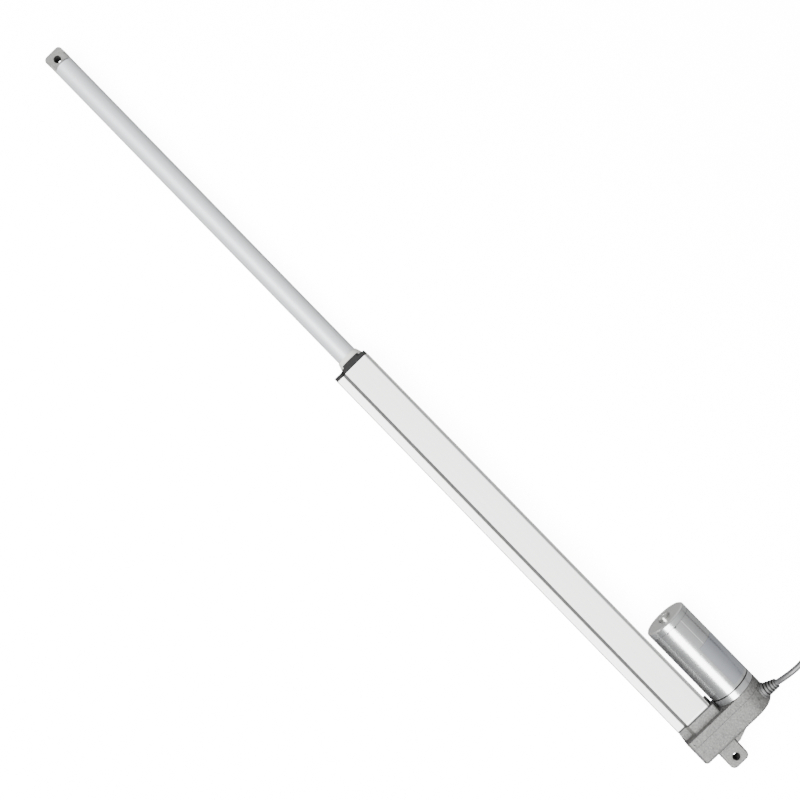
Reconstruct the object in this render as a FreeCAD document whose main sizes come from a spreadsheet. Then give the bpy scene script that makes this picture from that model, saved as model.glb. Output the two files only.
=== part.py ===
# Electric linear actuator with a parallel motor, built fully extended, in millimetres.
# Origin: centre of the rear eye's bore. +X runs towards the rod's tip, +Z along the bore, the motor on -Y.
import FreeCAD, Part
import math
import os

doc = FreeCAD.newDocument("actuator")
V = FreeCAD.Vector
nodes = []

# Driving sizes. Every place and mating size below is worked out from these.
SIZES = {
    "stroke": 350.0,
    "running_gap": 0.05,
    "sliding_gap": 0.15,
    "seat_gap": 0.02,
    "free_gap": 0.3,
    # rod and its eye
    "rod_radius": 10.0,
    "rod_wall": 2.0,
    "rod_shown": 38.0,
    "tip_set": 7.0,
    "eye_bore_radius": 3.25,
    "eye_bore_chamfer": 0.5,
    "tip_half_thick": 6.5,
    "tip_reach": 8.7,
    "plug_length": 22.0,
    # profile section, seen along the rod
    "profile_rear": 50.0,
    "profile_spare": 83.0,
    "profile_corner": 1.6,
    "profile_wall": 2.0,
    "bore_room": 2.3,
    "face_wall": 1.95,
    "right_wall": 2.9,
    "step_inset": 0.9,
    "step_reach": 2.3,
    "channel_inset": 2.7,
    "channel_reach": 10.1,
    "groove_inset": 2.0,
    "cap_inset": 0.2,
    "wiper_thick": 3.3,
    "groove_width": 0.7,
    "groove_depth": 0.5,
    "port_radius": 1.3,
    # front cap and wiper
    "cap_thick": 4.0,
    "lip_half": 7.6,
    "lip_height": 2.6,
    "wiper_height": 7.6,
    "guide_length": 24.0,
    "guide_chamfer": 4.8,
    # gearbox
    "box_rear": 15.9,
    "box_split": 33.3,
    "box_front": 40.4,
    "box_left_margin": 1.3,
    "box_corner": 4.0,
    "box_wall": 2.8,
    "gasket_thick": 0.4,
    "socket_extra": 2.5,
    "spigot_length": 9.0,
    "cover_recess": 3.4,
    "dowel_place": 36.6,
    "dowel_side": 18.8,
    "case_screw_radius": 1.5,
    # gears
    "gear_module": 1.0,
    "output_half_teeth": 16.0,
    "small_half_teeth": 6.0,
    "big_half_teeth": 12.0,
    "pinion_half_teeth": 6.0,
    "gear_room": 2.2,
    "gear_width": 6.0,
    "idler_pin_radius": 2.0,
    # screw and bearing
    "screw_radius": 6.0,
    "journal_radius": 5.0,
    "screw_start": 44.6,
    "screw_short": 21.0,
    "bearing_width": 6.0,
    "bearing_radius": 11.0,
    "nut_length": 32.0,
    "nut_stop": 7.0,
    "board_margin": 14.0,
    "board_half_width": 4.3,
    # motor
    "motor_seal": 0.6,
    "motor_band": 6.3,
    "motor_cap_seam": 122.0,
    "motor_cap_length": 6.4,
    "motor_screw_inset": 6.5,
    "core_slots": 10.0,
    "magnet_thick": 4.3,
    "air_gap": 0.7,
    "can_wall": 1.4,
    "motor_shaft_radius": 2.5,
    # rear eye
    "eye_half_width": 10.0,
    "eye_half_thick": 8.0,
    "eye_reach": 7.9,
    "eye_corner": 5.0,
    "gusset_foot": 8.3,
    "gusset_knee": 5.0,
    "gusset_drop": 11.4,
    "gusset_half_thick": 7.8,
    # cable
    "cable_radius": 2.6,
    "grommet_place": 25.7,
    "grommet_tilt": 30.0,
    "grommet_length": 13.6,
    "cable_reach": 120.0,
    "cable_shift": 9.5,
    "coil_radius": 26.0,
    "coil_turns": 4.25,
    "cable_tail": 20.0,
    "lead_length": 18.0,
}

# Sizes that are sums of others, so that a longer stroke or a bigger gear moves all that depends on it.
SUMS = {
    "bore_half": ["rod_radius", "bore_room"],
    "wiper_foot_radius": ["rod_radius", "wiper_thick"],
    "profile_half_depth": ["bore_half", "face_wall"],
    "profile_right": ["bore_half", "right_wall"],
    "step_top": ["bore_half", "-step_inset"],
    "step_foot": ["bore_half", "step_reach"],
    "channel_half_depth": ["bore_half", "-channel_inset"],
    "channel_edge": ["bore_half", "channel_reach"],
    "groove_place": ["profile_right", "-groove_inset"],
    "cap_right": ["profile_right", "-cap_inset"],
    "box_left": ["channel_edge", "box_left_margin"],
    "idler_offset": ["gear_module*output_half_teeth", "gear_module*small_half_teeth"],
    "motor_offset": ["idler_offset", "gear_module*big_half_teeth", "gear_module*pinion_half_teeth"],
    "box_half_depth": ["gear_module*output_half_teeth", "gear_room", "box_wall"],
    "motor_radius": ["box_half_depth"],
    "motor_screw_place": ["box_half_depth", "-motor_screw_inset"],
    "profile_end": ["profile_rear", "profile_spare", "stroke"],
    "rod_end": ["profile_end", "stroke", "rod_shown"],
    "tip_hole": ["rod_end", "tip_set"],
    "nut_front": ["profile_end", "-guide_length", "-nut_stop"],
    "screw_end": ["profile_end", "-screw_short"],
    "motor_end": ["motor_cap_seam", "motor_cap_length"],
}

sheet = doc.addObject("Spreadsheet::Sheet", "Sizes")
for row, (alias, number) in enumerate(SIZES.items(), start=1):
    sheet.set("A%d" % row, alias)
    sheet.set("B%d" % row, repr(number))
    sheet.setAlias("B%d" % row, alias)
doc.recompute()


def size(alias):
    """A size from the sheet, or a sum of them; a term may be a product or start with a minus sign."""
    if alias.startswith("-"):
        return -size(alias[1:])
    if "*" in alias:
        first, second = alias.split("*")
        return size(first) * size(second)
    if alias in SUMS:
        return sum(size(part) for part in SUMS[alias])
    return float(sheet.get(alias))


def bind(obj, **expressions):
    """Ties properties to expressions; words in them are sums or cells of the sheet."""
    for prop, text in expressions.items():
        for name in reversed(list(SUMS)):
            text = replace_word(text, name, "(" + " + ".join(SUMS[name]) + ")")
        for alias in SIZES:
            text = replace_word(text, alias, "Sizes." + alias)
        obj.setExpression(prop.replace("__", "."), text)


def replace_word(text, word, instead):
    """Replaces a whole word in an expression."""
    out = []
    start = 0
    while True:
        at = text.find(word, start)
        if at < 0:
            break
        before = text[at - 1] if at else " "
        after = text[at + len(word)] if at + len(word) < len(text) else " "
        whole = not (before.isalnum() or before in "_.") and not (after.isalnum() or after == "_")
        out.append(text[start:at] + (instead if whole else word))
        start = at + len(word)
    out.append(text[start:])
    return "".join(out)


def place(obj, x, y, z, turn=None):
    obj.Placement = FreeCAD.Placement(V(0, 0, 0), turn or FreeCAD.Rotation())
    bind(obj, Placement__Base__x=x, Placement__Base__y=y, Placement__Base__z=z)


ALONG_X = FreeCAD.Rotation(V(0, 1, 0), 90)
ALONG_Y = FreeCAD.Rotation(V(1, 0, 0), -90)


def rod(radius, length, x, y="0", z="0", turn=ALONG_X):
    """A cylinder that starts at x, y, z; along +X unless turned."""
    obj = doc.addObject("Part::Cylinder", "rod")
    bind(obj, Radius=radius, Height=length)
    place(obj, x, y, z, turn)
    return obj


def taper(radius_low, radius_high, length, x, y="0", z="0", turn=ALONG_X):
    obj = doc.addObject("Part::Cone", "taper")
    bind(obj, Radius1=radius_low, Radius2=radius_high, Height=length)
    place(obj, x, y, z, turn)
    return obj


def block(x, y, z, length, width, height):
    """A box from its low corner."""
    obj = doc.addObject("Part::Box", "block")
    bind(obj, Length=length, Width=width, Height=height)
    place(obj, x, y, z)
    return obj


def fuse(*parts):
    obj = doc.addObject("Part::MultiFuse", "fused")
    obj.Shapes = list(parts)
    obj.Refine = True
    return obj


def cut(base, *tools):
    obj = doc.addObject("Part::Cut", "cut")
    obj.Base = base
    obj.Tool = tools[0] if len(tools) == 1 else fuse(*tools)
    obj.Refine = True
    return obj


def group(*parts):
    obj = doc.addObject("Part::Compound", "group")
    obj.Links = list(parts)
    return obj


def node(label, obj):
    obj.Label = label
    nodes.append(obj)
    return obj


def solid(label, shape):
    """A piece shaped by functions that read the sheet."""
    obj = doc.addObject("Part::Feature", label)
    obj.Shape = shape
    obj.Placement = FreeCAD.Placement(V(0, 0, 0), FreeCAD.Rotation())
    return node(label, obj)


def raw_rod(radius, low, high, y=0.0, z=0.0):
    return Part.makeCylinder(radius, high - low, V(low, y, z), V(1, 0, 0))


def raw_block(low, high):
    return Part.makeBox(high[0] - low[0], high[1] - low[1], high[2] - low[2], V(*low))


def prism(corners, low, high):
    """A polygon in Y, Z drawn out along X. A corner with a third number is rounded by that radius."""
    edges = []
    count = len(corners)
    ends = []
    for k, corner in enumerate(corners):
        here = V(0, corner[0], corner[1])
        radius = corner[2] if len(corner) > 2 else 0.0
        if not radius:
            ends.append((here, here, None))
            continue
        back = V(0, corners[k - 1][0], corners[k - 1][1]) - here
        ahead = V(0, corners[(k + 1) % count][0], corners[(k + 1) % count][1]) - here
        back.normalize()
        ahead.normalize()
        half = back.getAngle(ahead) / 2
        reach = radius / math.tan(half)
        middle = back + ahead
        middle.normalize()
        centre = here + middle * (radius / math.sin(half))
        ends.append((here + back * reach, here + ahead * reach, centre - middle * radius))
    for k in range(count):
        first, last, bulge = ends[k]
        if bulge is not None:
            edges.append(Part.Arc(first, bulge, last).toShape())
        following = ends[(k + 1) % count][0]
        if (following - last).Length > 1e-6:
            edges.append(Part.LineSegment(last, following).toShape())
    face = Part.Face(Part.Wire(edges))
    face.translate(V(low, 0, 0))
    return face.extrude(V(high - low, 0, 0))


def mirrored(upper):
    """Adds the lower half of an outline whose upper half runs from right to left."""
    lower = [(corner[0], -corner[1]) + tuple(corner[2:]) for corner in reversed(upper)]
    return upper + lower


def profile_outer(grow=0.0, right=None):
    """The outside of the profile, with its round right corners and the step down to the side channel."""
    right = size("profile_right") if right is None else right
    depth = size("profile_half_depth") + grow
    channel = size("channel_half_depth") + grow
    return mirrored([
        (-right - grow, depth, size("profile_corner")),
        (size("step_top"), depth),
        (size("step_foot"), channel),
        (size("channel_edge") + grow, channel, 1.0),
    ])


def profile_inner(inset=0.0):
    """The hollow of the profile: the square bore, a slot beside it, and the side channel."""
    half = size("bore_half") - inset
    slot = 5.0 - inset
    channel = size("channel_half_depth") - 1.8 - inset
    return mirrored([
        (-half, half - 3.0),
        (-half + 3.0, half),
        (half - 3.0, half),
        (half, half - 3.0),
        (half, slot),
        (size("step_foot") - 0.6 + inset, slot),
        (size("step_foot") - 0.6 + inset, channel),
        (size("channel_edge") - 1.8 - inset, channel),
    ])


def ports():
    """Centres of the profile's four screw ports."""
    right = (-size("profile_right") + 2.9, size("profile_half_depth") - 2.9)
    left = (size("channel_edge") - 2.6, size("channel_half_depth") - 2.6)
    return [right, (right[0], -right[1]), left, (left[0], -left[1])]


# Profile tube: one aluminium extrusion with its ports, and a fine groove along both right corners.
def profile_tube():
    low = size("profile_rear")
    high = size("profile_end")
    shape = prism(profile_outer(), low, high).cut(prism(profile_inner(), low - 1, high + 1))
    for y, z in ports():
        land = raw_rod(size("port_radius") + 1.2, low, high, y, z)
        shape = shape.fuse(land.common(prism(profile_outer(), low, high)))
    for y, z in ports():
        shape = shape.cut(raw_rod(size("port_radius"), low - 1, high + 1, y, z))
    depth = size("profile_half_depth")
    for side in (1, -1):
        groove = raw_block(
            (low - 1, -size("groove_place") - size("groove_width") / 2, depth - size("groove_depth")),
            (high + 1, -size("groove_place") + size("groove_width") / 2, depth + 1),
        )
        if side < 0:
            groove = groove.mirror(V(0, 0, 0), V(0, 0, 1))
        shape = shape.cut(groove)
    return solid("profile_tube", shape.removeSplitter())


# Front end: cap, wiper ring, guide bush and the cap's four screws.
def front_end():
    low = size("profile_end")
    high = low + size("cap_thick")
    shape = prism(profile_outer(right=size("cap_right")), low, high)
    lip = raw_block(
        (high, -size("lip_half"), size("wiper_foot_radius") + 0.1),
        (high + size("lip_height"), size("lip_half"), size("profile_half_depth")),
    )
    shape = shape.fuse([lip, lip.mirror(V(0, 0, 0), V(0, 0, 1))])
    shape = shape.cut(raw_rod(size("rod_radius") + size("free_gap"), low - 1, high + 5))
    for y, z in ports():
        shape = shape.cut(raw_rod(size("port_radius") + 0.3, low - 1, high + 1, y, z))
        shape = shape.cut(raw_rod(size("port_radius") + 1.0, high - 1.6, high + 1, y, z))
    solid("front_cap", shape.removeSplitter())

    ring = taper("wiper_foot_radius", "rod_radius + 0.9", "wiper_height",
                 "profile_end + cap_thick")
    node("wiper_ring", cut(ring, rod("rod_radius + running_gap", "wiper_height + 4",
                                     "profile_end + cap_thick - 2")))

    start = low - size("guide_length")
    bush = prism(guide_outline(), start, low)
    bush = bush.cut(raw_rod(size("rod_radius") + size("running_gap"), start - 1, low + 1))
    solid("guide_bush", bush)

    screws = []
    for y, z in ports():
        shank = raw_rod(size("port_radius") - 0.05, low - 8, high - 1.0, y, z)
        head = raw_rod(size("port_radius") + 0.85, high - 1.5, high - 0.1, y, z)
        slot = Part.makeBox(1.0, 3.0, 0.5, V(high - 0.7, y - 1.5, z - 0.25))
        screws.append(shank.fuse(head).removeSplitter().cut(slot))
    solid("cap_screws", Part.makeCompound(screws))


def guide_outline():
    """The eight-sided section that slides in the profile's bore."""
    half = size("bore_half") - size("sliding_gap")
    flat = half - size("guide_chamfer")
    return mirrored([(-half, flat), (-flat, half), (flat, half), (half, flat)])


# Rod: the moving tube with its front eye, and the drive nut fixed to its inner end.
def rod_group():
    tube = rod("rod_radius", "rod_end - nut_front", "nut_front")
    bore = rod("rod_radius - rod_wall", "rod_end - nut_front + 2", "nut_front - 1")
    node("rod_tube", cut(tube, bore))

    tip = size("tip_hole")
    end = tip + size("tip_reach")
    corner = 4.2
    half = size("rod_radius")
    outline = [V(size("rod_end") - 3, -half, 0), V(end - corner, -half, 0), V(end, -half + corner, 0),
               V(end, half - corner, 0), V(end - corner, half, 0), V(size("rod_end") - 3, half, 0)]
    bulge = corner * (1 - math.sqrt(0.5))
    edges = [
        Part.LineSegment(outline[0], outline[1]).toShape(),
        Part.Arc(outline[1], V(end - bulge, -half + bulge, 0), outline[2]).toShape(),
        Part.LineSegment(outline[2], outline[3]).toShape(),
        Part.Arc(outline[3], V(end - bulge, half - bulge, 0), outline[4]).toShape(),
        Part.LineSegment(outline[4], outline[5]).toShape(),
        Part.LineSegment(outline[5], outline[0]).toShape(),
    ]
    thick = size("tip_half_thick")
    plate = Part.Face(Part.Wire(edges))
    plate.translate(V(0, 0, -thick))
    plate = plate.extrude(V(0, 0, 2 * thick))
    plate = plate.common(raw_rod(half, size("rod_end"), tip + 2).fuse(
        raw_block((tip + 1, -half, -thick), (end + 1, half, thick))))
    plug = raw_rod(half - size("rod_wall"), size("rod_end") - size("plug_length"), size("rod_end") + 1)
    collar = raw_rod(half, size("rod_end"), size("rod_end") + 1.2)
    shape = plate.fuse([plug, collar]).removeSplitter()
    shape = shape.cut(eye_bore(tip, thick))
    solid("front_eye", shape)


def eye_bore(x, thick):
    """A bore along Z with a chamfer at both mouths, as one cutter."""
    radius = size("eye_bore_radius")
    lead = size("eye_bore_chamfer")
    cutter = Part.makeCylinder(radius, 2 * thick + 2, V(x, 0, -thick - 1))
    cutter = cutter.fuse(Part.makeCone(radius, radius + lead + 0.2, lead + 0.2, V(x, 0, thick - lead)))
    return cutter.fuse(Part.makeCone(radius, radius + lead + 0.2, lead + 0.2, V(x, 0, lead - thick), V(0, 0, -1)))


# Drive nut: an eight-sided block that slides in the bore, with a cam on its left for the limit switches.
def drive_nut():
    front = size("nut_front")
    low = front - size("nut_length")
    half = size("bore_half") - size("sliding_gap")
    body = prism(guide_outline(), low, front)
    middle = (low + front) / 2
    cam = raw_block((middle - 8, half - 1, -4.6), (middle + 8, half + 2.4, 4.6))
    spigot = raw_rod(size("rod_radius") - size("rod_wall") - size("seat_gap"), front, front + 6)
    shape = body.fuse([cam, spigot]).removeSplitter()
    shape = shape.cut(raw_rod(size("screw_radius") + size("running_gap"), low - 1, front + 10))
    solid("drive_nut", shape)


# Lead screw with its rear journal, and the parts that turn with it.
def screw_group():
    body = rod("screw_radius", "screw_end - screw_start", "screw_start")
    journal = rod("journal_radius", "screw_start - box_rear - 3.6", "box_rear + 3.6")
    stem = rod("2", "4", "screw_end")
    node("lead_screw", fuse(body, journal, stem))
    node("screw_end_stop", cut(rod("rod_radius - rod_wall - 0.4", "2.6", "screw_end"),
                               rod("2.01", "6", "screw_end - 1")))
    low = size("screw_start") - 0.1 - size("bearing_width")
    high = low + size("bearing_width")
    shaft = size("journal_radius") + 0.01
    outer = size("bearing_radius")
    inner_land = shaft + 1.8
    inner_ring = raw_rod(inner_land, low, high).cut(raw_rod(shaft, low - 1, high + 1))
    outer_ring = raw_rod(outer, low, high).cut(raw_rod(outer - 1.8, low - 1, high + 1))
    for at in (low + 0.3, high - 0.8):
        shield = raw_rod(outer - 1.7, at, at + 0.5).cut(raw_rod(inner_land + 0.1, low, high))
        outer_ring = outer_ring.fuse(shield)
    solid("bearing_inner_ring", inner_ring)
    solid("bearing_outer_ring", outer_ring.removeSplitter())


def involute(angle):
    return math.tan(angle) - angle


def involute_gear(teeth, low, high, y, phase, bore):
    """A spur gear with short involute teeth, a little backlash and a plain bore."""
    module = size("gear_module")
    pressure = math.radians(25)
    pitch = module * teeth / 2
    base = pitch * math.cos(pressure)
    tip = pitch + 0.8 * module
    root = pitch - 1.05 * module
    backlash = 0.12
    half_tooth = math.pi / (2 * teeth) - backlash / 2 / pitch + involute(pressure)
    flank = []
    start = max(base, root)
    if root < base:
        flank.append((root, half_tooth))
    for k in range(4):
        radius = start + (tip - start) * k / 3
        flank.append((radius, half_tooth - involute(math.acos(min(1.0, base / radius)))))
    points = []
    for tooth in range(int(teeth)):
        centre = 2 * math.pi * tooth / teeth + phase
        for radius, turn in flank:
            points.append(V(low, y + radius * math.cos(centre - turn), radius * math.sin(centre - turn)))
        for radius, turn in reversed(flank):
            points.append(V(low, y + radius * math.cos(centre + turn), radius * math.sin(centre + turn)))
    face = Part.Face(Part.makePolygon(points + points[:1]))
    return face.extrude(V(high - low, 0, 0)).cut(raw_rod(bore, low - 1, high + 1, y))


# Gear train in the gearbox: motor pinion, double idler on its pin, and output gear on the screw.
def gear_train():
    width = size("gear_width")
    rear_plane = size("box_rear") + 8.1
    front_plane = rear_plane + width + 1.0
    output, small, big, pinion = [int(2 * size(name + "_half_teeth")) for name in
                                  ("output", "small", "big", "pinion")]
    idler_y = -size("idler_offset")
    shaft = size("journal_radius") + 0.01
    gear = involute_gear(output, rear_plane, rear_plane + width, 0.0, math.pi, shaft)
    gear = gear.fuse(raw_rod(8.0, rear_plane - 0.7, rear_plane + width + 2).cut(
        raw_rod(shaft, rear_plane - 2, rear_plane + width + 3))).removeSplitter()
    solid("output_gear", gear)
    pin = size("idler_pin_radius")
    bore = pin + 0.03
    lower = involute_gear(small, rear_plane, front_plane, idler_y, math.pi / small, bore)
    upper = involute_gear(big, front_plane, front_plane + 4.5, idler_y, math.pi, bore)
    solid("idler_gear", lower.fuse(upper).removeSplitter())
    node("idler_pin", rod("idler_pin_radius", "box_front - box_rear - 5.5", "box_rear + 4",
                          "-idler_offset"))
    far = math.pi / pinion
    solid("motor_pinion", involute_gear(pinion, front_plane - 0.3, front_plane + 4.8, -size("motor_offset"),
                                        far, size("motor_shaft_radius") + 0.01))


def box_outline(inset=0.0):
    """The gearbox seen along the rod: square to the left, half round about the motor's axis."""
    depth = size("box_half_depth") - inset
    left = size("box_left") - inset
    corner = max(size("box_corner") - inset, 0.8)
    centre = -size("motor_offset")
    turn = corner * (1 - math.sqrt(0.5))
    edges = [
        Part.LineSegment(V(0, centre, depth), V(0, left - corner, depth)).toShape(),
        Part.Arc(V(0, left - corner, depth), V(0, left - turn, depth - turn), V(0, left, depth - corner)).toShape(),
        Part.LineSegment(V(0, left, depth - corner), V(0, left, corner - depth)).toShape(),
        Part.Arc(V(0, left, corner - depth), V(0, left - turn, turn - depth), V(0, left - corner, -depth)).toShape(),
        Part.LineSegment(V(0, left - corner, -depth), V(0, centre, -depth)).toShape(),
        Part.Arc(V(0, centre, -depth), V(0, centre - depth, 0), V(0, centre, depth)).toShape(),
    ]
    return Part.Face(Part.Wire(edges))


def box_slab(low, high, inset=0.0):
    face = box_outline(inset)
    face.translate(V(low, 0, 0))
    return face.extrude(V(high - low, 0, 0))


def case_screw_places():
    edge = size("box_left") - 4.6
    depth = size("box_half_depth") - 4.6
    far = -size("motor_offset") + 6.5
    return [(edge, depth), (edge, -depth), (far, size("box_half_depth") - 4.0), (far, 4.0 - size("box_half_depth"))]


# Gearbox castings, gasket and screws.
def gearbox():
    wall = size("box_wall")
    rear = size("box_rear")
    seam = size("box_split")
    half_gasket = size("gasket_thick") / 2
    front = size("box_front")
    idler_y = -size("idler_offset")
    motor_y = -size("motor_offset")
    pin = size("idler_pin_radius") + 0.01
    screw = size("case_screw_radius")

    case = box_slab(rear, seam - half_gasket)
    rim = [edge for edge in case.Edges if all(abs(v.X - rear) < 1e-6 for v in edge.Vertexes)]
    case = case.makeFillet(3.0, rim)
    case = case.cut(box_slab(rear + 3.0, seam, wall))
    side = -size("eye_half_width")
    thick = size("gusset_half_thick")
    gusset = Part.Face(Part.makePolygon([
        V(rear + 1, side - 0.2, -thick),
        V(rear - size("gusset_foot"), side - 0.2, -thick),
        V(rear - size("gusset_foot") + 0.2, side - 3.0, -thick),
        V(rear - size("gusset_knee"), side - size("gusset_drop"), -thick),
        V(rear + 1, motor_y, -thick),
        V(rear + 1, side - 0.2, -thick),
    ])).extrude(V(0, 0, 2 * thick))
    case = case.fuse(gusset)
    boss = raw_rod(9.5, rear + 2, rear + 7.0)
    pin_boss = raw_rod(4.2, rear + 2, rear + 7.4, idler_y)
    case = case.fuse([boss, pin_boss])
    cavity = box_slab(rear + 0.5, seam - half_gasket, 0.4)
    for y, z in case_screw_places():
        case = case.fuse(raw_rod(3.6, rear + 2, seam - half_gasket, y, z).common(cavity))
    case = case.cut(raw_rod(7.0, rear + 3.2, rear + 9))
    case = case.cut(raw_rod(pin, rear + 3.9, rear + 9, idler_y))
    case = case.cut(raw_rod(5.0 + size("running_gap"), rear - 9, rear + 2.9))
    for y, z in case_screw_places():
        case = case.cut(raw_rod(screw + 0.1, rear - 1, seam + 1, y, z))
        case = case.cut(raw_rod(screw + 1.4, rear - 1, rear + 2.2, y, z))
    way = exit_way()
    case = case.cut(Part.makeCylinder(4.7, 12, way[0] - way[1] * 8, way[1]))
    solid("gearbox_rear_housing", case.removeSplitter())

    gasket = box_slab(seam - half_gasket, seam + half_gasket, 0.25).cut(
        box_slab(seam - 1, seam + 1, wall))
    for y, z in case_screw_places():
        land = raw_rod(3.6, seam - half_gasket, seam + half_gasket, y, z)
        gasket = gasket.fuse(land.common(box_slab(seam - 1, seam + 1, 0.25)))
    for y, z in case_screw_places():
        gasket = gasket.cut(raw_rod(screw + 0.1, seam - 1, seam + 1, y, z))
    solid("gearbox_gasket", gasket.removeSplitter())

    low = seam + half_gasket
    socket_end = size("profile_rear")
    cover = box_slab(low, front)
    socket = prism(profile_outer(0.0, size("profile_right") + size("socket_extra")), front - 1, socket_end)
    spigot = prism(guide_outline(), socket_end - 1, socket_end + size("spigot_length"))
    cover = cover.fuse([socket, spigot])
    recess = box_slab(low - 1, low + size("cover_recess"), wall)
    for y, z in case_screw_places():
        recess = recess.cut(raw_rod(3.6, low - 2, low + 4, y, z))
    cover = cover.cut(recess)
    bearing_rear = size("screw_start") - 0.1 - size("bearing_width")
    cover = cover.cut(raw_rod(size("bearing_radius") + 0.01, low - 1, bearing_rear + size("bearing_width")))
    cover = cover.cut(raw_rod(9.2, low, socket_end + size("spigot_length") + 1))
    cover = cover.cut(raw_rod(9.0 + size("running_gap"), low - 1, front + 1, motor_y))
    cover = cover.cut(raw_rod(pin, low - 1, front - 1.4, idler_y))
    for y, z in case_screw_places():
        cover = cover.cut(raw_rod(screw - 0.05, low - 1, front - 1.2, y, z))
    for z in (size("motor_screw_place"), -size("motor_screw_place")):
        cover = cover.cut(raw_rod(1.6, low, front + 1, motor_y, z))
    depth = size("box_half_depth")
    cover = cover.cut(Part.makeCylinder(0.7, 2.5, V(size("dowel_place"), size("dowel_side"), depth - 1.5)))
    way_low = size("step_foot") + 0.6
    cover = cover.cut(raw_block((low, way_low, -4), (socket_end + 1, size("channel_edge") - 2.4, 4)))
    solid("gearbox_front_housing", cover.removeSplitter())

    screws = []
    for y, z in case_screw_places():
        shank = raw_rod(screw - 0.08, rear + 1.5, front - 2.2, y, z)
        head = raw_rod(screw + 1.2, rear + 0.2, rear + 2.2, y, z)
        socket_hex = raw_rod(1.2, rear, rear + 1.2, y, z)
        screws.append(shank.fuse(head).removeSplitter().cut(socket_hex))
    solid("gearbox_screws", Part.makeCompound(screws))


def exit_way():
    """Where the cable leaves the round end: a point on the wall, and the direction."""
    tilt = math.radians(size("grommet_tilt"))
    way = V(0, -math.cos(tilt), math.sin(tilt))
    point = V(size("grommet_place"), -size("motor_offset"), 0) + way * size("box_half_depth")
    return point, way


# Rear eye: a block with rounded corners, its stem held in the rear housing.
def rear_eye():
    reach = size("eye_reach")
    half = size("eye_half_width")
    thick = size("eye_half_thick")
    face_x = size("box_rear") - 0.1
    shape = raw_block((-reach, -half, -thick), (face_x, half, thick))
    upright = [e for e in shape.Edges if all(abs(v.X + reach) < 1e-6 for v in e.Vertexes)
               and abs(e.Vertexes[0].Z - e.Vertexes[1].Z) > 1]
    shape = shape.makeFillet(size("eye_corner"), upright)
    rims = [e for e in shape.Edges if all(abs(abs(v.Z) - thick) < 1e-6 for v in e.Vertexes)
            and not all(abs(v.X - face_x) < 1e-6 for v in e.Vertexes)
            and abs(e.Vertexes[0].Z - e.Vertexes[1].Z) < 1e-6]
    shape = shape.makeChamfer(1.2, rims)
    shape = shape.fuse(raw_rod(5.0, face_x - 1, size("box_rear") + 2.8)).removeSplitter()
    solid("rear_eye", shape.cut(eye_bore(0.0, thick)))
    node("rear_bush", cut(rod("6.98", "3.8", "box_rear + 3.2"),
                          rod("journal_radius + running_gap", "6", "box_rear + 2")))


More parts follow.
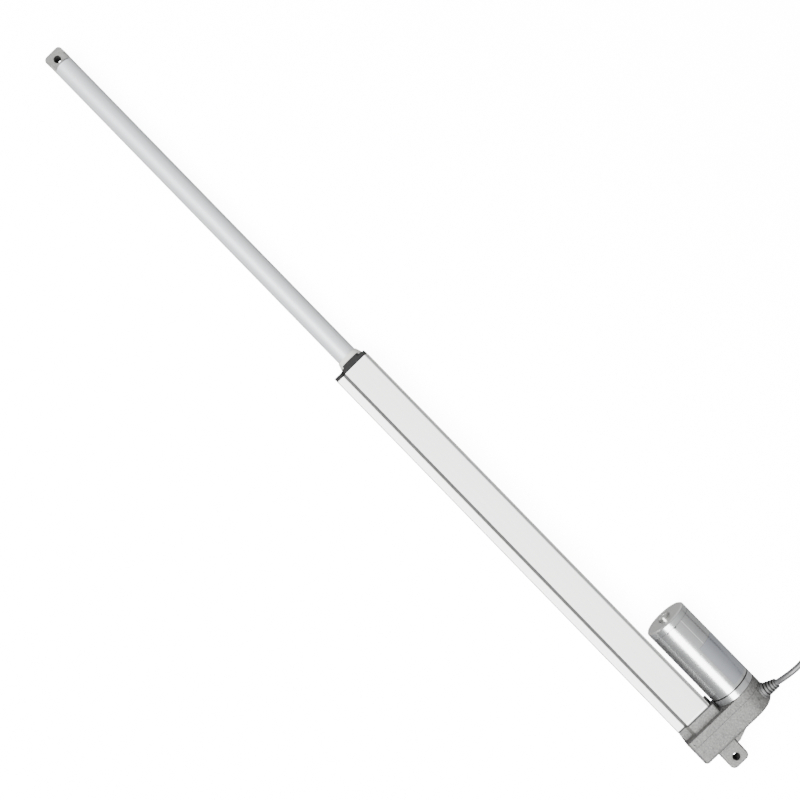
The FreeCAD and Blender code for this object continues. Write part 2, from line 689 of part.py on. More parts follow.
# Motor: seal, front plate, can, magnets, armature, commutator, brushes, rear cap and bushes.
def motor():
    y = "-motor_offset"
    low = "box_front + motor_seal"
    band_end = "(box_front + motor_seal + motor_band)"
    node("motor_seal", cut(rod("motor_radius - 0.5", "motor_seal", "box_front", y),
                           rod("9.4", "4", "box_front - 1", y),
                           rod("1.7", "4", "box_front - 1", y, "motor_screw_place"),
                           rod("1.7", "4", "box_front - 1", y, "-motor_screw_place")))
    plate = fuse(rod("motor_radius", "motor_band - 0.3", low, y),
                 rod("9", "4", "%s - 4" % low, y),
                 rod("motor_radius - can_wall - seat_gap", "3", "%s - 0.3" % band_end, y))
    node("motor_front_plate", cut(plate, rod("4.5", "30", "%s - 8" % low, y),
                                  rod("1.25", "5", "%s - 1" % low, y, "motor_screw_place"),
                                  rod("1.25", "5", "%s - 1" % low, y, "-motor_screw_place"),
                                  rod("motor_radius - 6", "8", "%s - 0.3" % band_end, y)))
    node("motor_can", cut(rod("motor_radius", "motor_cap_seam - 0.3 - %s" % band_end, band_end, y),
                          rod("motor_radius - can_wall", "motor_end", "%s - 1" % band_end, y)))
    cap = fuse(rod("motor_radius", "motor_end - motor_cap_seam - 1.2", "motor_cap_seam", y),
               taper("motor_radius", "motor_radius - 1.2", "1.2", "motor_end - 1.2", y),
               rod("5.8", "1.8", "motor_end", y),
               rod("motor_radius - can_wall - seat_gap", "3.3", "motor_cap_seam - 3.3", y))
    ring_groove = cut(rod("4.6", "2", "motor_end + 1.3", y), rod("3.2", "4", "motor_end + 1", y))
    node("motor_rear_cap", cut(cap, rod("motor_radius - 5", "motor_end - motor_cap_seam", "motor_cap_seam - 3.3", y),
                               rod("4.5", "6", "motor_end - 5.5", y), ring_groove))
    node("motor_front_bush", cut(rod("4.49", "7", "%s - 3.5" % low, y),
                                 rod("motor_shaft_radius + running_gap", "20", "%s - 8" % low, y)))
    node("motor_rear_bush", cut(rod("4.49", "3.8", "motor_end - 3.4", y),
                                rod("motor_shaft_radius + running_gap", "9", "motor_end - 6", y)))
    node("motor_shaft", rod("motor_shaft_radius", "motor_end + 0.4 - box_rear - 14.8", "box_rear + 14.8", y))
    bore = "motor_shaft_radius + 0.01"
    core_low = "(box_front + motor_seal + motor_band + 8)"
    core_high = "(motor_cap_seam - 12.7)"
    length = "(%s - %s)" % (core_high, core_low)
    core = "(motor_radius - can_wall - 0.1 - magnet_thick - air_gap)"
    slots = []
    for k in range(int(size("core_slots"))):
        slots.append(rod("1.3", length + " + 2", core_low + " - 1",
                         "-motor_offset + (%s - 0.5) * cos(360 * %d / core_slots)" % (core, k),
                         "(%s - 0.5) * sin(360 * %d / core_slots)" % (core, k)))
    node("armature_core", cut(rod(core, length, core_low, y), rod(bore, length + " + 2", core_low + " - 1", y),
                              *slots))
    ends = []
    for where in (core_low + " - 4.6", core_high + " + 0.1"):
        ends.append(cut(rod(core + " - 2.3", "4.5", where, y), rod("4", "8", where + " - 1", y)))
    node("armature_windings", group(*ends))
    node("commutator", cut(rod("6.5", "7", "motor_cap_seam - 7", y),
                           rod(bore, "12", "motor_cap_seam - 9", y)))
    axis = -size("motor_offset")
    start = size("box_front") + size("motor_seal") + size("motor_band") + 7.7
    stop = size("motor_cap_seam") - 15.0
    outer = size("motor_radius") - size("can_wall") - 0.1
    arcs = []
    for turn in (20, 200):
        arc = Part.makeCylinder(outer, stop - start, V(start, axis, 0), V(1, 0, 0), 140)
        arc.rotate(V(0, axis, 0), V(1, 0, 0), turn)
        arcs.append(arc.cut(raw_rod(outer - size("magnet_thick"), start - 1, stop + 1, axis)))
    solid("motor_magnets", Part.makeCompound(arcs))
    brushes = []
    for side in (1, -1):
        start = 6.6 if side > 0 else -12.6
        brushes.append(raw_block((size("motor_cap_seam") - 5.5, -size("motor_offset") - 2, start),
                                 (size("motor_cap_seam") - 1.5, -size("motor_offset") + 2, start + 6)))
    solid("motor_brushes", Part.makeCompound(brushes))
    holder_low = size("motor_cap_seam") - 6.2
    holder = raw_rod(size("motor_radius") - size("can_wall") - 0.15, holder_low, size("motor_cap_seam") - 3.4,
                     -size("motor_offset"))
    holder = holder.cut(raw_rod(7.2, holder_low - 1, holder_low + 9, axis))
    for brush in brushes:
        bounds = brush.BoundBox
        holder = holder.cut(raw_block((holder_low - 1, bounds.YMin - 0.1, bounds.ZMin - 0.1),
                                      (holder_low + 9, bounds.YMax + 0.1, bounds.ZMax + 0.1)))
    solid("brush_holder", holder)
    screws = []
    seat = size("box_split") + size("gasket_thick") / 2 + size("cover_recess") - size("seat_gap")
    for z in (size("motor_screw_place"), -size("motor_screw_place")):
        shank = raw_rod(1.2, seat - 0.5, size("box_front") + 4.0, -size("motor_offset"), z)
        head = raw_rod(2.6, seat - 1.8, seat, -size("motor_offset"), z)
        slot = raw_block((seat - 3, -size("motor_offset") - 3, z - 0.3),
                         (seat - 1.2, -size("motor_offset") + 3, z + 0.3))
        screws.append(shank.fuse(head).removeSplitter().cut(slot))
    solid("motor_screws", Part.makeCompound(screws))
    start = size("box_front") + 10.0
    stop = size("motor_cap_seam") - 21.6
    label = Part.makeCylinder(size("motor_radius") + 0.12, stop - start, V(start, axis, 0), V(1, 0, 0), 100)
    label.rotate(V(0, axis, 0), V(1, 0, 0), 118)
    solid("motor_label", label.cut(raw_rod(size("motor_radius") + size("seat_gap"), start - 1, stop + 1, axis)))


# Limit switches on a board in the side channel, their buttons and leads.
def limit_switches():
    outer = size("channel_edge") - 1.8
    board_low = outer - 1.4
    middle = size("nut_front") - size("nut_length") / 2
    margin = size("board_margin")
    back_middle = middle - size("stroke")
    solid("limit_board", raw_block((back_middle - margin, board_low, -size("board_half_width")),
                                   (middle + margin, outer - 0.2, size("board_half_width"))))
    bodies = []
    for name, x in (("front", middle), ("rear", back_middle)):
        low = board_low - 3.4
        body = raw_block((x - 6.4, low, -3.0), (x + 6.4, board_low - 0.02, 3.0))
        body = body.cut(raw_block((x - 1.6, low - 1, -1.6), (x + 1.6, low + 2.2, 1.6)))
        bodies.append(body)
        solid("limit_button_%s" % name, raw_block((x - 1.5, low - 0.7, -1.5), (x + 1.5, low + 1.4, 1.5)))
    solid("limit_switches", Part.makeCompound(bodies))
    leads = [raw_rod(0.8, size("box_split") + 2, back_middle - margin + 1, board_low - 1.0, z) for z in (-2.5, 2.5)]
    solid("limit_leads", Part.makeCompound(leads))


def tube_path(points, radius):
    """A tube of straight runs joined by tangent arcs, and its length."""
    edges = []
    start = points[0]
    for k in range(1, len(points) - 1):
        back = points[k - 1] - points[k]
        ahead = points[k + 1] - points[k]
        run = min(back.Length, ahead.Length)
        back.normalize()
        ahead.normalize()
        turn = math.pi - back.getAngle(ahead)
        reach = 0.45 * run
        bend = reach / math.tan(turn / 2)
        print("bend at point", k, "radius", round(bend, 1))
        middle = back + ahead
        middle.normalize()
        first = points[k] + back * reach
        last = points[k] + ahead * reach
        centre = points[k] + middle * math.hypot(bend, reach)
        edges.append(Part.LineSegment(start, first).toShape())
        edges.append(Part.Arc(first, centre - middle * bend, last).toShape())
        start = last
    edges.append(Part.LineSegment(start, points[-1]).toShape())
    wire = Part.Wire(edges)
    way = points[1] - points[0]
    ring = Part.Wire(Part.makeCircle(radius, points[0], way))
    return wire.makePipeShell([ring], True, False, 1), wire.Length


# Cable: grommet, the free run down to the surface, a neat coil and two bare leads.
def cable():
    wall, way = exit_way()
    radius = size("cable_radius")
    length = size("grommet_length")
    base = Part.makeCylinder(7.4, 1.6, wall - way * 0.9, way)
    cone = Part.makeCone(6.6, 4.2, length, wall, way)
    stem = Part.makeCylinder(4.5, 6.0, wall - way * 5.5, way)
    grommet = cone.fuse([base, stem]).removeSplitter()
    for k in range(4):
        ring = Part.makeCylinder(9, 1.2, wall + way * (3.0 + 2.8 * k), way)
        core = Part.makeCylinder(4.6 - 0.25 * k, 1.2, wall + way * (3.0 + 2.8 * k), way)
        grommet = grommet.cut(ring.cut(core))
    grommet = grommet.cut(Part.makeCylinder(radius + 0.02, length + 20, wall - way * 10, way))
    housing = box_slab(size("box_rear"), size("box_front"))
    hole = Part.makeCylinder(4.69, 2 * size("box_half_depth"), wall - way * size("box_half_depth"), way)
    grommet = grommet.cut(housing.cut(hole))
    solid("cable_grommet", grommet)

    start = wall - way * 6.5
    nose = wall + way * length
    solid("cable_inner_end", Part.makeCylinder(radius, 6.5 + length, start, way))
    floor = radius - size("box_half_depth")
    top = floor + 2 * radius * size("coil_turns")
    x, y, z = nose
    reach = size("cable_reach")
    shift = size("cable_shift")
    points = [
        nose,
        nose + way * reach * 0.2,
        V(x + shift * 0.35, y - reach * 0.39, z + reach * 0.056),
        V(x + shift * 0.72, y - reach * 0.6, z - reach * 0.069),
        V(x + shift, y - reach * 0.81, top),
        V(x + shift, y - reach, top),
    ]
    tube, run_length = tube_path(points, radius)
    coil_radius = size("coil_radius")
    centre = V(points[-1].x + coil_radius, points[-1].y, floor - radius)
    height = top + radius - centre.z
    coil = Part.makeCylinder(coil_radius + radius, height, centre)
    coil = coil.cut(Part.makeCylinder(coil_radius - radius, height + 2, centre - V(0, 0, 1)))
    tail_start = centre + V(0, -coil_radius, radius)
    tail = Part.makeCylinder(radius, size("cable_tail"), tail_start, V(1, 0, 0))
    room = Part.makeCylinder(coil_radius + radius + 0.2, height + 2, centre - V(0, 0, 1))
    tube = tube.cut(room)
    tail = tail.cut(room)
    print("cable route", [tuple(round(c, 2) for c in p) for p in points], "length", round(run_length, 1))
    print("coil centre", centre, "tail from", tail_start)
    solid("cable", Part.makeCompound([tube, tail]))
    solid("cable_coil", coil)
    end = tail_start + V(size("cable_tail"), 0, 0)
    insulated = size("lead_length")
    leads = []
    for side in (-1, 1):
        wire = Part.makeCylinder(0.9, insulated, end + V(0, 1.05 * side, 0), V(1, 0, 0))
        bare = Part.makeCylinder(0.5, 7, end + V(insulated, 1.05 * side, 0), V(1, 0, 0))
        leads.append(wire.fuse(bare).removeSplitter())
    solid("cable_leads", Part.makeCompound(leads))


profile_tube()
front_end()
rod_group()
drive_nut()
screw_group()
gear_train()
gearbox()
rear_eye()
motor()
limit_switches()
cable()
doc.recompute()

os.makedirs("parts", exist_ok=True)
for obj in doc.Objects:
    if any(word in obj.State for word in ("Invalid", "Error")):
        raise RuntimeError("%s is %s" % (obj.Label, obj.State))
for obj in nodes:
    if obj.Shape.isNull() or not obj.Shape.isValid():
        raise RuntimeError("%s has no valid shape" % obj.Label)
    obj.Shape.exportStep("parts/%s.step" % obj.Label)
    print("%-26s solids %2d volume %10.1f" % (obj.Label, len(obj.Shape.Solids), obj.Shape.Volume))
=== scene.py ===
import math
import bpy
from mathutils import Matrix, Vector


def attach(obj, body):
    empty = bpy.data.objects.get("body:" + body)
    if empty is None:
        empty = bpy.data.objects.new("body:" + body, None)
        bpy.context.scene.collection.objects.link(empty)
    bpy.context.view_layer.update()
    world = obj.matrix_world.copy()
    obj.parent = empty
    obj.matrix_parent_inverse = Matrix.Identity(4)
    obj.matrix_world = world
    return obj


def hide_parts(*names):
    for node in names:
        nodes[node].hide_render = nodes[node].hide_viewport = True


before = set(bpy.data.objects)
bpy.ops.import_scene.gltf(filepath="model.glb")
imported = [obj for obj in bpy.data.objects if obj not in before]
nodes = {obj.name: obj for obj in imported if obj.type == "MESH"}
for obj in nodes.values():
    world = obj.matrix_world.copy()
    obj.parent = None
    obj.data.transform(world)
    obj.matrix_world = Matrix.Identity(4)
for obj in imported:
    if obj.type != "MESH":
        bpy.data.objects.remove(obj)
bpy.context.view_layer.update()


# Camera. The part lies on the floor and is seen from above its middle, about a metre up,
# turned so that the rod points to the upper left and the motor to the upper right.
eye = Vector((0.3856, -0.0314, 0.9836))
aim = Vector((0.4327, -0.0068, 0.0))
picture_up = Vector((0.7152, -0.6987, 0.0167))
focal_length = 48.86
sensor_width = 36.0
gaze = (aim - eye).normalized()
right = gaze.cross(picture_up).normalized()
up = right.cross(gaze)
camera_data = bpy.data.cameras.new("camera")
camera_data.lens = focal_length
camera_data.sensor_width = sensor_width
camera = bpy.data.objects.new("camera", camera_data)
camera.matrix_world = Matrix((right, up, -gaze)).transposed().to_4x4()
camera.location = eye
bpy.context.collection.objects.link(camera)
bpy.context.scene.camera = camera


# Floor and backdrop: white paper that lies under the part and rises at its edges, far away.
# Only the camera sees it, so it lights nothing and shows in no metal. It glows by itself.
reach = 12.0
floor_height = -0.0211
corners = [(-reach, -reach), (reach, -reach), (reach, reach), (-reach, reach)]
low_ring = [(x, y, floor_height) for x, y in corners]
high_ring = [(x, y, reach) for x, y in corners]
walls = [(k, (k + 1) % 4, (k + 1) % 4 + 4, k + 4) for k in range(4)]
floor_mesh = bpy.data.meshes.new("floor")
floor_mesh.from_pydata(low_ring + high_ring, [], [(0, 1, 2, 3), *walls])
floor = bpy.data.objects.new("floor", floor_mesh)
bpy.context.collection.objects.link(floor)
floor.visible_glossy = False
floor.visible_diffuse = False
floor.visible_shadow = False


class Sock:
    """A value in a material that is added and multiplied as in a formula."""

    def __init__(self, shade, socket):
        self.shade = shade
        self.socket = socket

    def math(self, operation, *others):
        node = self.shade.tree.nodes.new("ShaderNodeMath")
        node.operation = operation
        for slot, value in zip(node.inputs, (self, *others)):
            self.shade.feed(slot, value)
        return Sock(self.shade, node.outputs[0])

    def __add__(self, other):
        return self.math("ADD", other)

    def __sub__(self, other):
        return self.math("SUBTRACT", other)

    def __rsub__(self, other):
        return self * -1.0 + other

    def __mul__(self, other):
        return self.math("MULTIPLY", other)

    def __pow__(self, other):
        return self.math("POWER", other)

    def __abs__(self):
        return self.math("ABSOLUTE")

    def clamp(self):
        return self.math("MAXIMUM", 0.0).math("MINIMUM", 1.0)

    def above(self, edge, sharp):
        """A mask that rises from 0 to 1 past an edge, within 1 / sharp metres."""
        return ((self - edge) * sharp).clamp()

    def below(self, edge, sharp):
        """A mask that falls from 1 to 0 as the value comes up to an edge."""
        return ((edge - self) * sharp).clamp()

    def line(self, centre, sharp):
        """A mask that is 1 at the centre and fades to 0 on both sides of it."""
        return (1.0 - ((self - centre) * sharp) ** 2).clamp()

    def hypot(self, other):
        return (self ** 2 + other ** 2) ** 0.5


class Shade:
    """One material. Every node but the Math ones comes from its method node."""

    def __init__(self, name, **constants):
        self.material = bpy.data.materials.new(name)
        self.material.use_nodes = True
        self.tree = self.material.node_tree
        self.surface = self.tree.nodes["Principled BSDF"]
        for key, value in constants.items():
            self.surface.inputs[key.replace("_", " ")].default_value = value
        self.place = self.node("ShaderNodeTexCoord", output="Object")

    def feed(self, slot, value):
        if isinstance(value, Sock):
            self.tree.links.new(value.socket, slot)
        else:
            slot.default_value = value

    def node(self, kind, output=0, settings=None, **inputs):
        node = self.tree.nodes.new(kind)
        for key, value in (settings or {}).items():
            setattr(node, key, value)
        for key, value in inputs.items():
            self.feed(node.inputs[key.replace("_", " ")], value)
        return Sock(self, node.outputs[output])

    def noise(self, scale, stretch=(1, 1, 1), detail=3.0):
        spot = self.node("ShaderNodeMapping", Vector=self.place, Scale=stretch)
        return self.node("ShaderNodeTexNoise", "Fac", Vector=spot, Scale=scale, Detail=detail)

    def mix(self, amount, low, high):
        """A colour between two, each given as numbers or as a value of this material."""
        low, high = (colour if isinstance(colour, Sock) else (*colour, 1) for colour in (low, high))
        return self.node("ShaderNodeMix", 2, {"data_type": "RGBA"}, Factor=amount, A=low, B=high)

    def axis(self, letter):
        return self.node("ShaderNodeSeparateXYZ", letter, Vector=self.place)

    def wire(self, **slots):
        for key, value in slots.items():
            self.feed(self.surface.inputs[key.replace("_", " ")], value)

    def bump(self, height, distance, strength):
        slots = {"Height": height, "Distance": distance, "Strength": strength}
        self.wire(Normal=self.node("ShaderNodeBump", "Normal", **slots))

    def dress(self, *names):
        """Puts the material on CAD nodes, in place of the plain one that they came with."""
        for name in names:
            mesh = nodes[name].data
            mesh.materials.clear()
            mesh.materials.append(self.material)


paper = Shade("white_paper", Base_Color=(0.93, 0.93, 0.93, 1), Emission_Color=(1, 1, 1, 1),
              Emission_Strength=12.0)
paper.wire(Roughness=paper.noise(40.0) * 0.06 + 0.85)
floor_mesh.materials.append(paper.material)


# Studio. Its walls are darker than its ceiling, most of all on the channel's side, so that round
# metal has dark edges. One broad lamp hangs above, a little to the channel's side; the motor's
# bright band is its reflection.
wall_light = 0.48
ceiling_light = 1.0
side_loss = 0.26
world = bpy.data.worlds.new("studio")
world.use_nodes = True
sky = world.node_tree
glow = sky.nodes["Background"]
glow.inputs["Color"].default_value = (1, 1, 1, 1)
height = sky.nodes.new("ShaderNodeSeparateXYZ")
ramp = sky.nodes.new("ShaderNodeMapRange")
for key, value in {"From Min": 0.3, "From Max": 0.85, "To Min": wall_light, "To Max": ceiling_light}.items():
    ramp.inputs[key].default_value = value
lean = sky.nodes.new("ShaderNodeMath")
lean.operation = "MULTIPLY_ADD"
lean.inputs[1].default_value = -side_loss
sky.links.new(sky.nodes.new("ShaderNodeTexCoord").outputs["Generated"], height.inputs[0])
sky.links.new(height.outputs["Z"], ramp.inputs["Value"])
sky.links.new(height.outputs["Y"], lean.inputs[0])
sky.links.new(ramp.outputs["Result"], lean.inputs[2])
sky.links.new(lean.outputs[0], glow.inputs["Strength"])
bpy.context.scene.world = world
lamp_place = Vector((0.2, 0.72, 1.85))
lamp_aim = Vector((0.2, 0.0, 0.0))
lamp_data = bpy.data.lights.new("overhead", "AREA")
lamp_data.shape = "RECTANGLE"
lamp_data.size = 2.6
lamp_data.size_y = 1.15
lamp_data.energy = 225.0
lamp = bpy.data.objects.new("overhead", lamp_data)
lamp.location = lamp_place
lamp.rotation_euler = (lamp_aim - lamp_place).to_track_quat("-Z", "Y").to_euler()
bpy.context.collection.objects.link(lamp)


# Cast gearbox and eyes: grey die-cast alloy with a sandy, speckled and slightly mottled skin.
# Shade is painted near black in the bores and in the seam round the profile's foot, and light is
# painted on the front eye's rounded sides, which are coloured lighter than its flats.
rear_bore_x = 0.0
front_bore_x = 0.878
no_bore_x = -1.0
bore_shade_radius = 0.0035
seam_start = 0.0490
seam_end = 0.0520
front_eye_start = 0.8
eye_half_width = 0.0074
eye_flat_height = 0.0063
# Near black, the colour of painted shade in bores, seams and grooves.
black = (0.004, 0.004, 0.004)


def cast_skin(name, dark, light, bore_x, *names):
    cast = Shade(name)
    x, y, z = cast.axis("X"), cast.axis("Y"), cast.axis("Z")
    grit = cast.noise(1500.0, detail=4.0)
    speckle = cast.noise(620.0, detail=5.0)
    patch = cast.noise(60.0)
    mottle = (speckle * 1.3 + grit + patch * 0.5 - 0.9).clamp()
    # Painted shade: the inside of the bore is coloured near black.
    painted_bore_shade = (x - bore_x).hypot(y).below(bore_shade_radius, 9000.0)
    # Painted shade in the seam round the profile's foot.
    seam_shade = x.above(seam_start, 3000.0) * x.below(seam_end, 4000.0) * z.above(0.0, 900.0)
    painted_shade = (painted_bore_shade + seam_shade * 0.95).clamp()
    # Painted light: the front eye's rounded sides are coloured lighter than its flats.
    painted_side_light = abs(y).above(eye_half_width, 3000.0) * x.above(front_eye_start, 900.0)
    painted_side_light = painted_side_light * z.below(eye_flat_height, 5000.0)
    skin = cast.mix(painted_side_light, cast.mix(mottle, dark, light), (0.32, 0.32, 0.315))
    cast.wire(Base_Color=cast.mix(painted_shade, skin, black))
    cast.wire(Roughness=(patch * 0.15 + grit * 0.1 + 0.4 + painted_shade * 0.5).clamp())
    cast.wire(Metallic=(0.35 - painted_shade * 0.35).clamp())
    cast.bump(grit + speckle, 0.00016, 0.8)
    cast.dress(*names)


cast_skin("cast_alloy", (0.024, 0.024, 0.023), (0.15, 0.15, 0.145), no_bore_x,
          "gearbox_rear_housing", "gearbox_front_housing")
cast_skin("cast_eye", (0.04, 0.04, 0.039), (0.145, 0.145, 0.14), rear_bore_x, "rear_eye")
cast_skin("tip_eye", (0.075, 0.075, 0.073), (0.17, 0.17, 0.165), front_bore_x, "front_eye")


# Profile: clear anodised extrusion, nearly white, with faint die lines along its length. Shade is
# painted dark on the slope to the side channel, the channel's outer edge, the round corner beside
# the motor and the rear cut; light is painted pale on the channel's face and on both ends.
slope_start = 0.0114
slope_end = 0.0148
channel_start = 0.0150
channel_edge = 0.0214
corner_middle = -0.0136
rear_cut_end = 0.0509
rear_highlight_middle = 0.0519
front_highlight_start = 0.4824
profile = Shade("anodised_profile", Metallic=0.2)
lines = profile.noise(500.0, (0.01, 1, 1), 2.0)
along = profile.axis("X")
side = profile.axis("Y")
upper = profile.axis("Z").above(0.0, 900.0)
# Painted shade on the slope, the channel's outer edge, the round corner and the rear cut.
slope = side.above(slope_start, 3500.0) * side.below(slope_end, 3500.0)
corner = side.line(corner_middle, 640.0) * upper
rear_cut_shade = along.below(rear_cut_end, 4000.0) * upper
painted_shade = (slope + corner * 0.95 + rear_cut_shade + side.above(channel_edge, 4000.0) * 0.9).clamp()
# Painted light on both ends and on the channel's face.
end_highlights = along.line(rear_highlight_middle, 1400.0) + along.above(front_highlight_start, 3000.0)
bright = (end_highlights + side.above(channel_start, 3000.0)).clamp()
face = profile.mix(lines, (0.56, 0.56, 0.55), (0.64, 0.64, 0.63))
face = profile.mix(bright * 0.8, face, (0.92, 0.92, 0.91))
profile.wire(Base_Color=profile.mix(painted_shade, face, (0.03, 0.03, 0.03)))
profile.wire(Roughness=lines * 0.12 + 0.4)
profile.bump(lines, 0.00003, 0.4)
profile.dress("profile_tube")


# Rod: a drawn tube with the same clear finish, a little bluer and duller than the profile,
# with very fine lines along it.
rod = Shade("anodised_rod", Metallic=0.35)
drawn = rod.noise(900.0, (0.006, 1, 1), 2.0)
rod.wire(Base_Color=rod.mix(drawn, (0.40, 0.415, 0.43), (0.48, 0.495, 0.51)))
rod.wire(Roughness=drawn * 0.1 + 0.46)
rod.bump(drawn, 0.00002, 0.4)
rod.dress("rod_tube")


# Front cap: charcoal nylon with a fine moulded grain, screwed to the profile's end. The limit
# switches, their buttons, the brushes and the brush holder are as dark and share it.
nylon = Shade("black_nylon", Specular_IOR_Level=0.12)
grain = nylon.noise(1800.0)
nylon.wire(Base_Color=nylon.mix(grain, (0.004, 0.004, 0.0038), (0.008, 0.008, 0.0075)))
nylon.wire(Roughness=grain * 0.2 + 0.5)
nylon.bump(grain, 0.00004, 0.5)
nylon.dress("front_cap", "brush_holder", "motor_brushes", "limit_switches", "limit_button_front",
            "limit_button_rear")


# Wiper: a pale grey rubber ring that is pressed into the cap. Its foot is black, and the black
# reaches further out across the ring's middle, behind the cap's lip.
foot_end = 0.4885
lip_end = 0.4903
lip_half_width = 0.0094
wiper = Shade("wiper_rubber")
soft = wiper.noise(700.0)
along = wiper.axis("X")
lip = along.below(lip_end, 4000.0) * abs(wiper.axis("Y")).below(lip_half_width, 4000.0)
foot = (along.below(foot_end, 4000.0) + lip).clamp()
pale = wiper.mix(soft, (0.42, 0.42, 0.40), (0.50, 0.50, 0.475))
wiper.wire(Base_Color=wiper.mix(foot, pale, (0.006, 0.006, 0.0057)))
wiper.wire(Roughness=foot * 0.2 + 0.6)
wiper.bump(soft, 0.00005, 0.5)
wiper.dress("wiper_ring")


# Motor: satin plated steel with fine turned lines. Light is painted on the rear cap's end face, which
# is coloured lighter, and a painted highlight lies on its small raised ring inside a groove of
# painted shade; painted shade also darkens the front plate where the can meets it.
motor_y = -0.04
ring_radius = 0.0038
groove_radius = 0.0061
end_face_start = 0.1273
ring_start = 0.1279
plate_seam_start = 0.0467
plate_seam_end = 0.06


def metal_skin(name):
    """A plated steel and its colour, which the caller finishes."""
    metal = Shade(name, Metallic=0.9)
    turned = metal.noise(1400.0, (1, 0.03, 0.03), 2.0)
    sparkle = metal.noise(900.0, detail=4.0)
    cloud = metal.noise(60.0)
    metal.wire(Roughness=turned * 0.06 + cloud * 0.06 + sparkle * 0.1 + 0.11)
    metal.bump(turned * 0.5 + sparkle * 0.6, 0.00004, 0.5)
    return metal, metal.mix(cloud * 0.6 + sparkle * 0.4, (0.36, 0.365, 0.37), (0.52, 0.525, 0.535))


motor, colour = metal_skin("motor_steel")
along = motor.axis("X")
out = (motor.axis("Y") - motor_y).hypot(motor.axis("Z"))
end_face = along.above(end_face_start, 3000.0)
# Painted highlight on the raised ring and painted shade in the groove round it.
ring = out.line(ring_radius, 1200.0) * along.above(ring_start, 3000.0)
groove_shade = out.line(groove_radius, 1100.0) * end_face
# Painted shade on the front plate where the can meets it.
seam_shade = along.above(plate_seam_start, 3000.0) * along.below(plate_seam_end, 3000.0)
# Painted light: the end face is coloured lighter than the steel.
colour = motor.mix(end_face * 0.9, colour, (0.86, 0.86, 0.84))
colour = motor.mix(ring, colour, (1.0, 1.0, 0.98))
motor.wire(Base_Color=motor.mix((seam_shade + groove_shade * 0.7).clamp(), colour, (0.03, 0.03, 0.03)))
motor.dress("motor_front_plate", "motor_rear_cap")


# Can: rolled from the same steel. A painted highlight runs along the line where its sheet is closed,
# two short slots at its rear edge are painted dark as shade, and painted shade darkens it beside the
# profile and along its front edge. A bare silvery film lies on the side away from the profile.
closing_angle = 114.0
closing_start = 0.0938
closing_half_width = 0.000291
slot_angles = (91.5, 69.0)
slot_start = 0.1208
flank_angle = 25.0
band_end = 0.0482
film_angles = (98.0, 198.0)
film_edge_angle = 97.5
film_start = 0.0505
film_end = 0.0935
film_end_line = 0.0936
film_line_half_width = 0.00025
can, colour = metal_skin("motor_can_steel")
along = can.axis("X")
upper = can.axis("Z").above(0.0, 9000.0)


def short_of(degrees):
    """How far a point of the can falls short of a line at this angle about the motor's axis."""
    turn = math.radians(degrees)
    return (can.axis("Y") - motor_y) * math.sin(turn) - can.axis("Z") * math.cos(turn)


def slot(degrees):
    return (1.0 - (abs(short_of(degrees)) * 700.0) ** 6).clamp()


# Painted shade on the flank beside the profile.
flank_shade = abs(short_of(flank_angle)).line(0.0, 160.0) * upper
colour = can.mix(flank_shade * 0.75, colour, (0.14, 0.14, 0.14))
# Painted shade along the can's front edge.
colour = can.mix(along.below(band_end, 3000.0), colour, (0.03, 0.03, 0.03))
past_film_edge = short_of(film_angles[0]).below(0.0, 9000.0)
film_length = along.above(film_start, 9000.0) * along.below(film_end, 9000.0)
film_area = past_film_edge * short_of(film_angles[1]).above(0.0, 9000.0) * film_length
edge_line = abs(short_of(film_edge_angle)).below(film_line_half_width, 4000.0) * film_length
end_line = along.line(film_end_line, 3500.0) * past_film_edge
colour = can.mix(film_area * 0.8, colour, (0.36, 0.38, 0.425))
colour = can.mix((edge_line + end_line).clamp() * 0.5, colour, (0.1, 0.1, 0.11))
# Painted highlight along the line where the sheet is closed.
closing_highlight = abs(short_of(closing_angle)).below(closing_half_width, 5500.0)
closing_highlight = closing_highlight * along.above(closing_start, 9000.0) * upper
colour = can.mix(closing_highlight, colour, (0.95, 0.95, 0.95))
# Painted shade in the two slots at the rear edge.
slots = (slot(slot_angles[0]) + slot(slot_angles[1])) * along.above(slot_start, 9000.0)
can.wire(Base_Color=can.mix(slots * upper, colour, (0.01, 0.01, 0.01)))
can.dress("motor_can")
film = Shade("bare_film", Metallic=0.5)
sheen = film.noise(120.0)
film.wire(Base_Color=film.mix(sheen, (0.25, 0.27, 0.33), (0.34, 0.365, 0.43)))
film.wire(Roughness=sheen * 0.15 + 0.3)
film.dress("motor_label")


# Gasket, screws and inner parts: turned, moulded or bought pieces, each of its usual material:
# ground steel, rubber, bronze, copper, acetal, laminated iron, ferrite or circuit board.
def finish(name, scale, dark, light, *names, stretch=(1, 1, 1), **constants):
    """A finish whose colour wanders between two."""
    shade = Shade(name, **constants)
    shade.wire(Base_Color=shade.mix(shade.noise(scale, stretch), dark, light))
    shade.dress(*names)


steel = Shade("ground_steel", Metallic=0.95)
marks = steel.noise(900.0, (0.2, 1, 1), 2.0)
steel.wire(Base_Color=steel.mix(marks, (0.45, 0.45, 0.46), (0.6, 0.6, 0.61)))
steel.wire(Roughness=marks * 0.2 + 0.2)
steel.dress("lead_screw", "bearing_inner_ring", "bearing_outer_ring", "idler_pin", "motor_pinion",
            "motor_shaft", "cap_screws", "gearbox_screws", "motor_screws")
finish("black_seal", 500.0, (0.01, 0.01, 0.01), (0.025, 0.025, 0.025),
       "motor_seal", "gearbox_gasket", Roughness=0.6)
finish("bronze", 400.0, (0.42, 0.26, 0.11), (0.55, 0.36, 0.17),
       "rear_bush", "motor_front_bush", "motor_rear_bush", Metallic=0.9, Roughness=0.4)
finish("enamelled_copper", 500.0, (0.45, 0.16, 0.06), (0.62, 0.26, 0.1),
       "armature_windings", "commutator", stretch=(1, 0.1, 0.1), Metallic=0.9, Roughness=0.3)
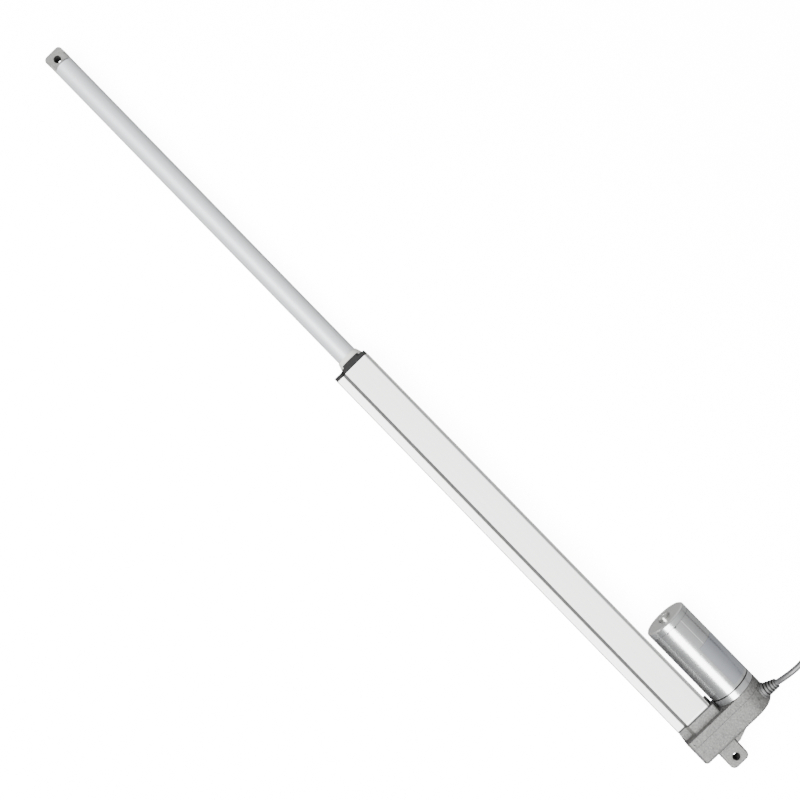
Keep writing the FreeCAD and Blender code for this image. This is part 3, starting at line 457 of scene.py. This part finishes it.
finish("natural_acetal", 200.0, (0.72, 0.69, 0.58), (0.8, 0.77, 0.67),
       "drive_nut", "guide_bush", "screw_end_stop", "output_gear", "idler_gear",
       Roughness=0.4, Subsurface_Weight=0.1)
finish("core_iron", 3000.0, (0.12, 0.12, 0.13), (0.3, 0.3, 0.31),
       "armature_core", stretch=(1, 0.01, 0.01), Metallic=0.8, Roughness=0.5)
finish("ferrite", 800.0, (0.03, 0.03, 0.03), (0.06, 0.06, 0.065), "motor_magnets", Roughness=0.7)
finish("board", 300.0, (0.01, 0.09, 0.03), (0.02, 0.14, 0.05), "limit_board", Roughness=0.35)


# Cable: a round grey sheath that leaves the strain relief, bends over, comes down and is wound
# in a neat stack on the floor, with a short straight tail. One spline holds the run and the coil.
millimetre = 0.001
cable_radius = 2.6
route = [(25.7, -69.96, 17.3), (25.7, -90.75, 29.3), (29.02, -116.76, 24.02), (32.54, -141.96, 9.02),
         (35.2, -167.16, 3.7), (35.2, -189.96, 3.7)]
coil_centre = (61.2, -189.96)
coil_radius = 26.0
coil_turns = 4.25
coil_top = 3.7
tail_length = 20.0
steps_per_turn = 16
# The control points stand a little outside the circle that the spline is to follow.
control_radius = coil_radius / math.cos(math.pi / steps_per_turn) ** 0.5
for step in range(1, int(coil_turns * steps_per_turn) + 1):
    turn = step / steps_per_turn
    angle = math.pi + 2 * math.pi * turn
    route.append((coil_centre[0] + control_radius * math.cos(angle),
                  coil_centre[1] + control_radius * math.sin(angle),
                  coil_top - 2 * cable_radius * turn))
tail_y = coil_centre[1] - coil_radius
tail_z = coil_top - 2 * cable_radius * coil_turns
route.append((coil_centre[0] + 0.4 * tail_length, tail_y, tail_z))
route.append((coil_centre[0] + tail_length, tail_y, tail_z))
cable_data = bpy.data.curves.new("cable_run", "CURVE")
cable_data.dimensions = "3D"
cable_data.bevel_depth = cable_radius * millimetre
cable_data.bevel_resolution = 5
cable_data.resolution_u = 6
cable_data.use_fill_caps = True
spline = cable_data.splines.new("NURBS")
spline.points.add(len(route) - 1)
for point, spot in zip(spline.points, route):
    point.co = (*(Vector(spot) * millimetre), 1.0)
spline.order_u = 3
spline.use_endpoint_u = True
cable = bpy.data.objects.new("cable_run", cable_data)
bpy.context.collection.objects.link(cable)
sheath = Shade("cable_sheath")
scuff = sheath.noise(250.0)
sheath.wire(Base_Color=sheath.mix(scuff, (0.038, 0.038, 0.039), (0.062, 0.062, 0.064)))
sheath.wire(Roughness=scuff * 0.15 + 0.2)
sheath.bump(sheath.noise(900.0), 0.00004, 0.4)
cable_data.materials.append(sheath.material)
sheath.dress("cable_inner_end")
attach(cable, "housing")
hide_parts("cable", "cable_coil")


# Leads: the two thin insulated wires that come out of the cable's end, one black and one red.
# The leads of the limit switches, inside the profile, are all red.
lead = Shade("lead_sheath", Roughness=0.45)
red = lead.axis("Y").above(tail_y * millimetre, 4000.0)
lead.wire(Base_Color=lead.mix(red, (0.02, 0.02, 0.02), (0.35, 0.02, 0.015)))
lead.dress("limit_leads", "cable_leads")


# Strain relief: a grey rubber cone, moulded on the cable and pressed into the gearbox's corner.
# Shade is painted near black in bands along the grooves round it and at their bottoms.
foot_x = 0.0257
foot_y = -0.05819
foot_z = 0.0105
tilt = math.radians(30.0)
grooves_start = 0.002
grooves_end = 0.0132
groove_depth_radius = 0.0058
taper = 0.14
first_groove = 0.0036
groove_pitch = 0.0028
groove_half_share = 0.3214
stripes_start = 0.0026
stripes_end = 0.0126
relief = Shade("relief_rubber", Roughness=0.5)
down = relief.axis("Y") - foot_y
rise = relief.axis("Z") - foot_z
outward = rise * math.sin(tilt) - down * math.cos(tilt)
from_axis = (relief.axis("X") - foot_x).hypot(down * math.sin(tilt) + rise * math.cos(tilt))
# Painted shade at the bottoms of the grooves.
groove_bottom_shade = (outward * taper + from_axis).below(groove_depth_radius, 5000.0)
groove_bottom_shade = groove_bottom_shade * outward.above(grooves_start, 5000.0) * outward.below(grooves_end, 5000.0)
# Painted shade in bands along the grooves.
wave = ((outward - first_groove) * (1 / groove_pitch) + 0.5).math("FRACT") - 0.5
groove_band_shade = abs(wave).below(groove_half_share, 8.4)
groove_band_shade = groove_band_shade * outward.above(stripes_start, 9000.0) * outward.below(stripes_end, 9000.0)
rubber = relief.mix(relief.noise(600.0), (0.034, 0.034, 0.034), (0.052, 0.052, 0.052))
relief.wire(Base_Color=relief.mix((groove_bottom_shade + groove_band_shade * 0.9).clamp(), rubber, black))
relief.dress("cable_grommet")
